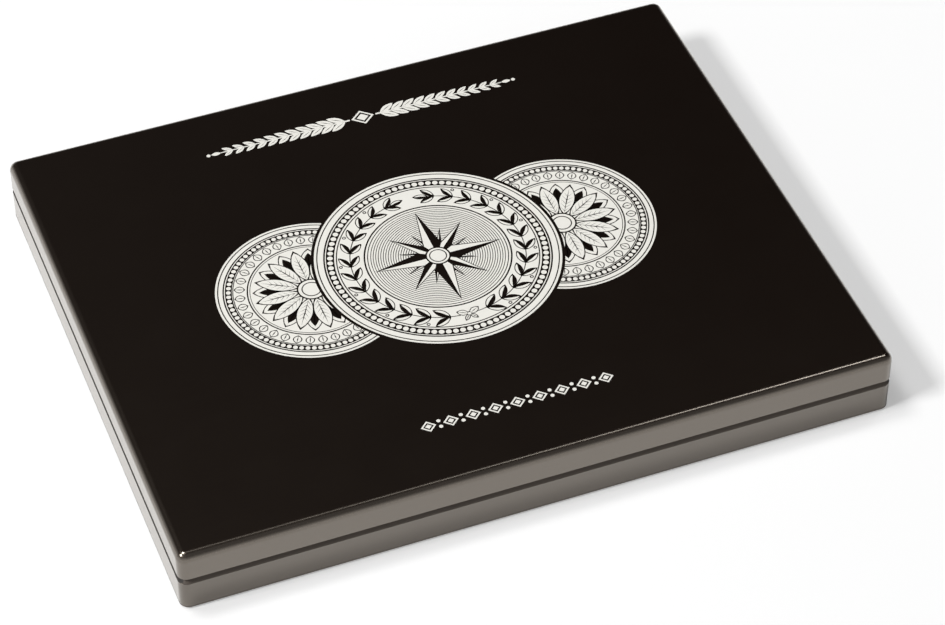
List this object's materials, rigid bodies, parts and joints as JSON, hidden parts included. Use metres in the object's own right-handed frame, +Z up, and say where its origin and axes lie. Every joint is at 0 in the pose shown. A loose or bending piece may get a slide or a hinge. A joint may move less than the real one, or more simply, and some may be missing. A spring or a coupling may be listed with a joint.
{
  "type": "coin presentation case",
  "caption": "Flat hinged presentation case in dark lacquered board, with a velour board of round capsule recesses, a padded lid lining and a magnetic closure.",
  "frame": {"origin": "on the table, under the middle of the closed case", "axes": "+X along the long front edge to the right, +Y towards the hinged back, +Z up"},
  "size_m": [0.305, 0.245, 0.03],
  "materials": {
    "black_lacquer": "satin lacquer on fibreboard",
    "black_velour": "short-pile velour",
    "black_satin": "satin weave over foam",
    "lining_card": "matt card",
    "hinge_brass": "polished",
    "magnet_nickel": "nickel plated",
    "silver_ink": "silver screen-print ink on the lid"
  },
  "bodies": {
    "base": {"base_panel": "black_lacquer", "base_front_rail": "black_lacquer", "base_back_rail": "black_lacquer", "base_left_rail": "black_lacquer", "base_right_rail": "black_lacquer", "capsule_floor": "black_velour", "capsule_board": "black_velour", "base_left_magnet": "magnet_nickel", "base_right_magnet": "magnet_nickel", "hinge_left_lower_leaf": "hinge_brass", "hinge_right_lower_leaf": "hinge_brass", "hinge_left_pin": "hinge_brass", "hinge_right_pin": "hinge_brass", "base_hinge_screws": "hinge_brass"},
    "lid": {"lid_panel": "black_lacquer", "lid_front_rail": "black_lacquer", "lid_back_rail": "black_lacquer", "lid_left_rail": "black_lacquer", "lid_right_rail": "black_lacquer", "lid_lining_card": "lining_card", "lid_pad": "black_satin", "lid_left_magnet": "magnet_nickel", "lid_right_magnet": "magnet_nickel", "hinge_left_upper_leaf": "hinge_brass", "hinge_right_upper_leaf": "hinge_brass", "lid_hinge_screws": "hinge_brass"}
  },
  "joints": [
    {"name": "lid_hinge", "type": "hinge", "parent": "base", "child": "lid", "pos_m": [0, 0.1206, 0.0156], "axis": [-1, 0, 0], "range_deg": [0, 100]}
  ]
}
